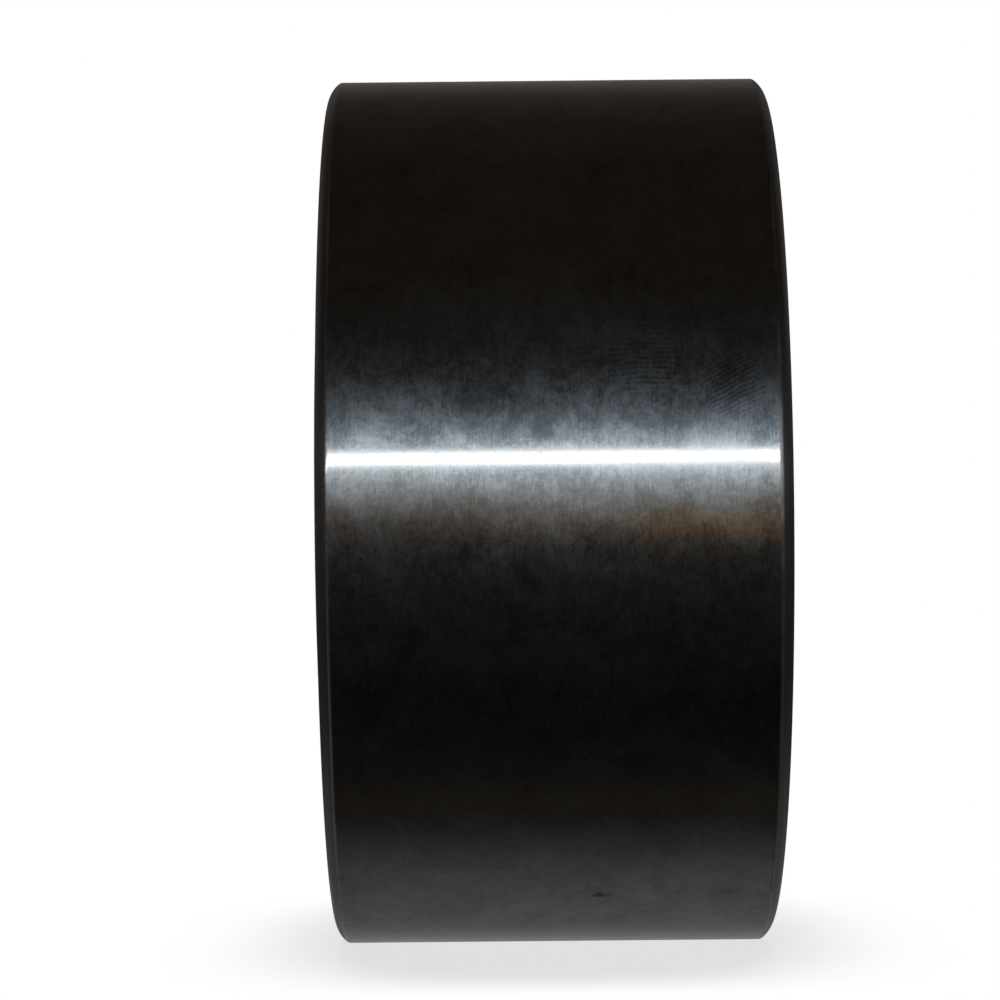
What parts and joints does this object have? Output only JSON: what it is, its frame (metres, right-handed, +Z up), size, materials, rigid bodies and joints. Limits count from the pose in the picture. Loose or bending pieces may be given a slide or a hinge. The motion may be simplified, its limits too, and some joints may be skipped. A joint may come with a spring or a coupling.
{
  "type": "cam follower",
  "caption": "Yoke-type cam follower: a thick cylindrical outer ring turning on caged rollers round a bored inner ring with side plates.",
  "frame": {"origin": "centre of the tread, on the axis of rotation, midway between the two side plates", "axes": "+Y along the axis of rotation, towards the right side plate; +Z up, in line with the grease holes"},
  "size_m": [0.08, 0.041, 0.08],
  "materials": {
    "tread_steel": "blackened bearing steel, ground round its circumference",
    "ring_steel": "bright ground bearing steel",
    "plate_steel": "blackened steel, turned face",
    "roller_steel": "superfinished bearing steel",
    "cage_polymer": "glass-filled polyamide, natural colour",
    "seal_polymer": "moulded polyamide, black"
  },
  "bodies": {
    "inner_assembly": {"inner_ring": "ring_steel", "side_plate_left": "plate_steel", "side_plate_right": "plate_steel", "seal_washer_left": "seal_polymer", "seal_washer_right": "seal_polymer"},
    "outer_ring": {"outer_ring": "tread_steel"},
    "roller_cage_left": {"roller_cage_left": "cage_polymer"},
    "roller_left_01": {"roller_left_01": "roller_steel"},
    "roller_left_02": {"roller_left_02": "roller_steel"},
    "roller_left_03": {"roller_left_03": "roller_steel"},
    "roller_left_04": {"roller_left_04": "roller_steel"},
    "roller_left_05": {"roller_left_05": "roller_steel"},
    "roller_left_06": {"roller_left_06": "roller_steel"},
    "roller_left_07": {"roller_left_07": "roller_steel"},
    "roller_left_08": {"roller_left_08": "roller_steel"},
    "roller_left_09": {"roller_left_09": "roller_steel"},
    "roller_left_10": {"roller_left_10": "roller_steel"},
    "roller_left_11": {"roller_left_11": "roller_steel"},
    "roller_left_12": {"roller_left_12": "roller_steel"},
    "roller_left_13": {"roller_left_13": "roller_steel"},
    "roller_left_14": {"roller_left_14": "roller_steel"},
    "roller_left_15": {"roller_left_15": "roller_steel"},
    "roller_left_16": {"roller_left_16": "roller_steel"},
    "roller_cage_right": {"roller_cage_right": "cage_polymer"},
    "roller_right_01": {"roller_right_01": "roller_steel"},
    "roller_right_02": {"roller_right_02": "roller_steel"},
    "roller_right_03": {"roller_right_03": "roller_steel"},
    "roller_right_04": {"roller_right_04": "roller_steel"},
    "roller_right_05": {"roller_right_05": "roller_steel"},
    "roller_right_06": {"roller_right_06": "roller_steel"},
    "roller_right_07": {"roller_right_07": "roller_steel"},
    "roller_right_08": {"roller_right_08": "roller_steel"},
    "roller_right_09": {"roller_right_09": "roller_steel"},
    "roller_right_10": {"roller_right_10": "roller_steel"},
    "roller_right_11": {"roller_right_11": "roller_steel"},
    "roller_right_12": {"roller_right_12": "roller_steel"},
    "roller_right_13": {"roller_right_13": "roller_steel"},
    "roller_right_14": {"roller_right_14": "roller_steel"},
    "roller_right_15": {"roller_right_15": "roller_steel"},
    "roller_right_16": {"roller_right_16": "roller_steel"}
  },
  "joints": [
    {"name": "outer_spin", "type": "hinge", "parent": "inner_assembly", "child": "outer_ring", "pos_m": [0, 0, 0], "axis": [0, 1, 0], "continuous": true},
    {"name": "cage_left_spin", "type": "hinge", "parent": "inner_assembly", "child": "roller_cage_left", "pos_m": [0, -0.0079, 0], "axis": [0, 1, 0], "continuous": true},
    {"name": "roller_left_01_spin", "type": "hinge", "parent": "roller_cage_left", "child": "roller_left_01", "pos_m": [0.02352, -0.0079, 0], "axis": [0, 1, 0], "continuous": true},
    {"name": "roller_left_02_spin", "type": "hinge", "parent": "roller_cage_left", "child": "roller_left_02", "pos_m": [0.02173, -0.0079, -0.009], "axis": [0, 1, 0], "continuous": true},
    {"name": "roller_left_03_spin", "type": "hinge", "parent": "roller_cage_left", "child": "roller_left_03", "pos_m": [0.01663, -0.0079, -0.01663], "axis": [0, 1, 0], "continuous": true},
    {"name": "roller_left_04_spin", "type": "hinge", "parent": "roller_cage_left", "child": "roller_left_04", "pos_m": [0.009, -0.0079, -0.02173], "axis": [0, 1, 0], "continuous": true},
    {"name": "roller_left_05_spin", "type": "hinge", "parent": "roller_cage_left", "child": "roller_left_05", "pos_m": [0, -0.0079, -0.02352], "axis": [0, 1, 0], "continuous": true},
    {"name": "roller_left_06_spin", "type": "hinge", "parent": "roller_cage_left", "child": "roller_left_06", "pos_m": [-0.009, -0.0079, -0.02173], "axis": [0, 1, 0], "continuous": true},
    {"name": "roller_left_07_spin", "type": "hinge", "parent": "roller_cage_left", "child": "roller_left_07", "pos_m": [-0.01663, -0.0079, -0.01663], "axis": [0, 1, 0], "continuous": true},
    {"name": "roller_left_08_spin", "type": "hinge", "parent": "roller_cage_left", "child": "roller_left_08", "pos_m": [-0.02173, -0.0079, -0.009], "axis": [0, 1, 0], "continuous": true},
    {"name": "roller_left_09_spin", "type": "hinge", "parent": "roller_cage_left", "child": "roller_left_09", "pos_m": [-0.02352, -0.0079, 0], "axis": [0, 1, 0], "continuous": true},
    {"name": "roller_left_10_spin", "type": "hinge", "parent": "roller_cage_left", "child": "roller_left_10", "pos_m": [-0.02173, -0.0079, 0.009], "axis": [0, 1, 0], "continuous": true},
    {"name": "roller_left_11_spin", "type": "hinge", "parent": "roller_cage_left", "child": "roller_left_11", "pos_m": [-0.01663, -0.0079, 0.01663], "axis": [0, 1, 0], "continuous": true},
    {"name": "roller_left_12_spin", "type": "hinge", "parent": "roller_cage_left", "child": "roller_left_12", "pos_m": [-0.009, -0.0079, 0.02173], "axis": [0, 1, 0], "continuous": true},
    {"name": "roller_left_13_spin", "type": "hinge", "parent": "roller_cage_left", "child": "roller_left_13", "pos_m": [0, -0.0079, 0.02352], "axis": [0, 1, 0], "continuous": true},
    {"name": "roller_left_14_spin", "type": "hinge", "parent": "roller_cage_left", "child": "roller_left_14", "pos_m": [0.009, -0.0079, 0.02173], "axis": [0, 1, 0], "continuous": true},
    {"name": "roller_left_15_spin", "type": "hinge", "parent": "roller_cage_left", "child": "roller_left_15", "pos_m": [0.01663, -0.0079, 0.01663], "axis": [0, 1, 0], "continuous": true},
    {"name": "roller_left_16_spin", "type": "hinge", "parent": "roller_cage_left", "child": "roller_left_16", "pos_m": [0.02173, -0.0079, 0.009], "axis": [0, 1, 0], "continuous": true},
    {"name": "cage_right_spin", "type": "hinge", "parent": "inner_assembly", "child": "roller_cage_right", "pos_m": [0, 0.0079, 0], "axis": [0, 1, 0], "continuous": true},
    {"name": "roller_right_01_spin", "type": "hinge", "parent": "roller_cage_right", "child": "roller_right_01", "pos_m": [0.02307, 0.0079, -0.00459], "axis": [0, 1, 0], "continuous": true},
    {"name": "roller_right_02_spin", "type": "hinge", "parent": "roller_cage_right", "child": "roller_right_02", "pos_m": [0.01956, 0.0079, -0.01307], "axis": [0, 1, 0], "continuous": true},
    {"name": "roller_right_03_spin", "type": "hinge", "parent": "roller_cage_right", "child": "roller_right_03", "pos_m": [0.01307, 0.0079, -0.01956], "axis": [0, 1, 0], "continuous": true},
    {"name": "roller_right_04_spin", "type": "hinge", "parent": "roller_cage_right", "child": "roller_right_04", "pos_m": [0.00459, 0.0079, -0.02307], "axis": [0, 1, 0], "continuous": true},
    {"name": "roller_right_05_spin", "type": "hinge", "parent": "roller_cage_right", "child": "roller_right_05", "pos_m": [-0.00459, 0.0079, -0.02307], "axis": [0, 1, 0], "continuous": true},
    {"name": "roller_right_06_spin", "type": "hinge", "parent": "roller_cage_right", "child": "roller_right_06", "pos_m": [-0.01307, 0.0079, -0.01956], "axis": [0, 1, 0], "continuous": true},
    {"name": "roller_right_07_spin", "type": "hinge", "parent": "roller_cage_right", "child": "roller_right_07", "pos_m": [-0.01956, 0.0079, -0.01307], "axis": [0, 1, 0], "continuous": true},
    {"name": "roller_right_08_spin", "type": "hinge", "parent": "roller_cage_right", "child": "roller_right_08", "pos_m": [-0.02307, 0.0079, -0.00459], "axis": [0, 1, 0], "continuous": true},
    {"name": "roller_right_09_spin", "type": "hinge", "parent": "roller_cage_right", "child": "roller_right_09", "pos_m": [-0.02307, 0.0079, 0.00459], "axis": [0, 1, 0], "continuous": true},
    {"name": "roller_right_10_spin", "type": "hinge", "parent": "roller_cage_right", "child": "roller_right_10", "pos_m": [-0.01956, 0.0079, 0.01307], "axis": [0, 1, 0], "continuous": true},
    {"name": "roller_right_11_spin", "type": "hinge", "parent": "roller_cage_right", "child": "roller_right_11", "pos_m": [-0.01307, 0.0079, 0.01956], "axis": [0, 1, 0], "continuous": true},
    {"name": "roller_right_12_spin", "type": "hinge", "parent": "roller_cage_right", "child": "roller_right_12", "pos_m": [-0.00459, 0.0079, 0.02307], "axis": [0, 1, 0], "continuous": true},
    {"name": "roller_right_13_spin", "type": "hinge", "parent": "roller_cage_right", "child": "roller_right_13", "pos_m": [0.00459, 0.0079, 0.02307], "axis": [0, 1, 0], "continuous": true},
    {"name": "roller_right_14_spin", "type": "hinge", "parent": "roller_cage_right", "child": "roller_right_14", "pos_m": [0.01307, 0.0079, 0.01956], "axis": [0, 1, 0], "continuous": true},
    {"name": "roller_right_15_spin", "type": "hinge", "parent": "roller_cage_right", "child": "roller_right_15", "pos_m": [0.01956, 0.0079, 0.01307], "axis": [0, 1, 0], "continuous": true},
    {"name": "roller_right_16_spin", "type": "hinge", "parent": "roller_cage_right", "child": "roller_right_16", "pos_m": [0.02307, 0.0079, 0.00459], "axis": [0, 1, 0], "continuous": true}
  ],
  "couplings": [
    {"joint": "cage_left_spin", "follows": "outer_spin", "ratio": 0.57483},
    {"joint": "roller_left_01_spin", "follows": "outer_spin", "ratio": 3.288},
    {"joint": "roller_left_02_spin", "follows": "outer_spin", "ratio": 3.288},
    {"joint": "roller_left_03_spin", "follows": "outer_spin", "ratio": 3.288},
    {"joint": "roller_left_04_spin", "follows": "outer_spin", "ratio": 3.288},
    {"joint": "roller_left_05_spin", "follows": "outer_spin", "ratio": 3.288},
    {"joint": "roller_left_06_spin", "follows": "outer_spin", "ratio": 3.288},
    {"joint": "roller_left_07_spin", "follows": "outer_spin", "ratio": 3.288},
    {"joint": "roller_left_08_spin", "follows": "outer_spin", "ratio": 3.288},
    {"joint": "roller_left_09_spin", "follows": "outer_spin", "ratio": 3.288},
    {"joint": "roller_left_10_spin", "follows": "outer_spin", "ratio": 3.288},
    {"joint": "roller_left_11_spin", "follows": "outer_spin", "ratio": 3.288},
    {"joint": "roller_left_12_spin", "follows": "outer_spin", "ratio": 3.288},
    {"joint": "roller_left_13_spin", "follows": "outer_spin", "ratio": 3.288},
    {"joint": "roller_left_14_spin", "follows": "outer_spin", "ratio": 3.288},
    {"joint": "roller_left_15_spin", "follows": "outer_spin", "ratio": 3.288},
    {"joint": "roller_left_16_spin", "follows": "outer_spin", "ratio": 3.288},
    {"joint": "cage_right_spin", "follows": "outer_spin", "ratio": 0.57483},
    {"joint": "roller_right_01_spin", "follows": "outer_spin", "ratio": 3.288},
    {"joint": "roller_right_02_spin", "follows": "outer_spin", "ratio": 3.288},
    {"joint": "roller_right_03_spin", "follows": "outer_spin", "ratio": 3.288},
    {"joint": "roller_right_04_spin", "follows": "outer_spin", "ratio": 3.288},
    {"joint": "roller_right_05_spin", "follows": "outer_spin", "ratio": 3.288},
    {"joint": "roller_right_06_spin", "follows": "outer_spin", "ratio": 3.288},
    {"joint": "roller_right_07_spin", "follows": "outer_spin", "ratio": 3.288},
    {"joint": "roller_right_08_spin", "follows": "outer_spin", "ratio": 3.288},
    {"joint": "roller_right_09_spin", "follows": "outer_spin", "ratio": 3.288},
    {"joint": "roller_right_10_spin", "follows": "outer_spin", "ratio": 3.288},
    {"joint": "roller_right_11_spin", "follows": "outer_spin", "ratio": 3.288},
    {"joint": "roller_right_12_spin", "follows": "outer_spin", "ratio": 3.288},
    {"joint": "roller_right_13_spin", "follows": "outer_spin", "ratio": 3.288},
    {"joint": "roller_right_14_spin", "follows": "outer_spin", "ratio": 3.288},
    {"joint": "roller_right_15_spin", "follows": "outer_spin", "ratio": 3.288},
    {"joint": "roller_right_16_spin", "follows": "outer_spin", "ratio": 3.288}
  ]
}
